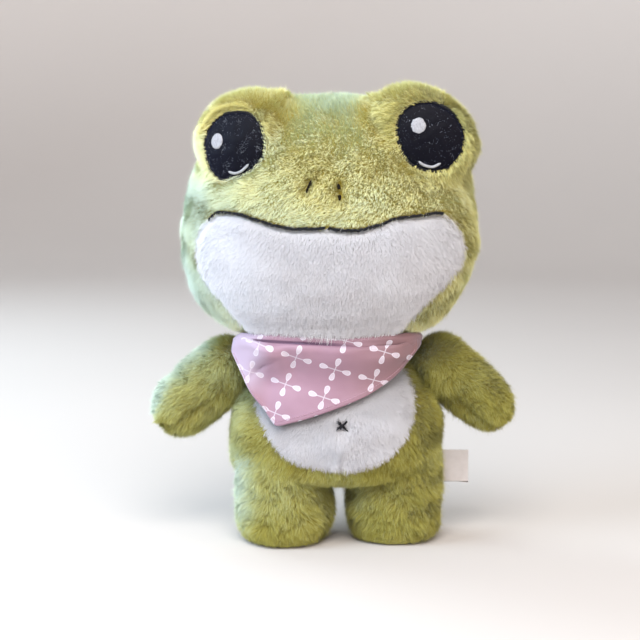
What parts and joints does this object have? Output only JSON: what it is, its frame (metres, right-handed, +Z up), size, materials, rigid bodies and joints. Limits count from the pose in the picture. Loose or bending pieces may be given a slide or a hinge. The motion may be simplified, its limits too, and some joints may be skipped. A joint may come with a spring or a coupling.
{
  "type": "plush frog toy",
  "caption": "Standing stuffed frog in long-pile plush with a big head, raised round eyes, white muzzle and belly, stub arms and legs, and a pink cotton neck scarf.",
  "frame": {"origin": "on the floor under the middle of the bounding box", "axes": "+Z up, the front of the body faces -Y, +X is the frog's own left side"},
  "size_m": [0.2014, 0.1318, 0.2495],
  "materials": {
    "green_plush": "matte",
    "white_plush": "matte",
    "stuffing": "matte",
    "eye_cloth": "matte",
    "white_thread": "matte",
    "black_thread": "matte",
    "pink_cotton": "matte",
    "white_satin": "matte"
  },
  "bodies": {
    "torso": {"torso_front_panel": "green_plush", "torso_back_panel_left": "green_plush", "torso_back_panel_right": "green_plush", "belly_panel": "white_plush", "navel_stitch": "black_thread", "torso_stuffing": "stuffing", "scarf_band": "pink_cotton", "scarf_knot": "pink_cotton", "scarf_tail_left": "pink_cotton", "scarf_tail_right": "pink_cotton"},
    "neck": {"neck_stuffing": "stuffing"},
    "head": {"eye_arc_left": "white_thread", "eye_arc_right": "white_thread", "eye_glint_left": "white_thread", "eye_glint_right": "white_thread", "eye_lobe_cover_left": "green_plush", "eye_lobe_cover_right": "green_plush", "eye_lobe_stuffing_left": "stuffing", "eye_lobe_stuffing_right": "stuffing", "eye_patch_left": "eye_cloth", "eye_patch_right": "eye_cloth", "head_back_panel_left": "green_plush", "head_back_panel_right": "green_plush", "head_front_panel": "green_plush", "head_stuffing": "stuffing", "mouth_line": "black_thread", "muzzle_panel": "white_plush", "nostril_left": "black_thread", "nostril_right": "black_thread"},
    "arm_right": {"arm_cover_right": "green_plush", "arm_stuffing_right": "stuffing"},
    "arm_left": {"arm_cover_left": "green_plush", "arm_stuffing_left": "stuffing"},
    "leg_right": {"leg_cover_right": "green_plush", "leg_stuffing_right": "stuffing", "sole_right": "green_plush"},
    "leg_left": {"leg_cover_left": "green_plush", "leg_stuffing_left": "stuffing", "sole_left": "green_plush"},
    "scarf_bib": {"scarf_bib": "pink_cotton"},
    "care_label": {"care_label": "white_satin"}
  },
  "joints": [
    {"name": "head_turn", "type": "hinge", "parent": "torso", "child": "neck", "pos_m": [0, 0, 0.109], "axis": [0, 0, 1], "range_deg": [-15, 20], "stiffness_Nm_per_rad": 0.5},
    {"name": "head_nod", "type": "hinge", "parent": "neck", "child": "head", "pos_m": [0, 0, 0.109], "axis": [0.9962, -0.0872, 0], "range_deg": [-6, 4], "stiffness_Nm_per_rad": 1.5},
    {"name": "arm_right_raise", "type": "hinge", "parent": "torso", "child": "arm_right", "pos_m": [-0.0585, -0.002, 0.092], "axis": [0, 1, 0], "range_deg": [-5, 60], "stiffness_Nm_per_rad": 0.2},
    {"name": "arm_left_raise", "type": "hinge", "parent": "torso", "child": "arm_left", "pos_m": [0.0585, -0.002, 0.095], "axis": [0, -1, 0], "range_deg": [-5, 60], "stiffness_Nm_per_rad": 0.2},
    {"name": "leg_right_swing", "type": "hinge", "parent": "torso", "child": "leg_right", "pos_m": [-0.027, -0.0125, 0.04], "axis": [-1, 0, 0], "range_deg": [-12, 20], "stiffness_Nm_per_rad": 2},
    {"name": "leg_left_swing", "type": "hinge", "parent": "torso", "child": "leg_left", "pos_m": [0.033, -0.0065, 0.04], "axis": [-1, 0, 0], "range_deg": [-12, 20], "stiffness_Nm_per_rad": 2},
    {"name": "scarf_bib_lift", "type": "hinge", "parent": "torso", "child": "scarf_bib", "pos_m": [0, -0.0483, 0.1115], "axis": [-1, 0, 0], "range_deg": [0, 40], "stiffness_Nm_per_rad": 0.004},
    {"name": "care_label_flap", "type": "hinge", "parent": "torso", "child": "care_label", "pos_m": [0.0601, 0.003, 0.0372], "axis": [0, 0, 1], "range_deg": [-50, 50], "stiffness_Nm_per_rad": 0.0005}
  ]
}
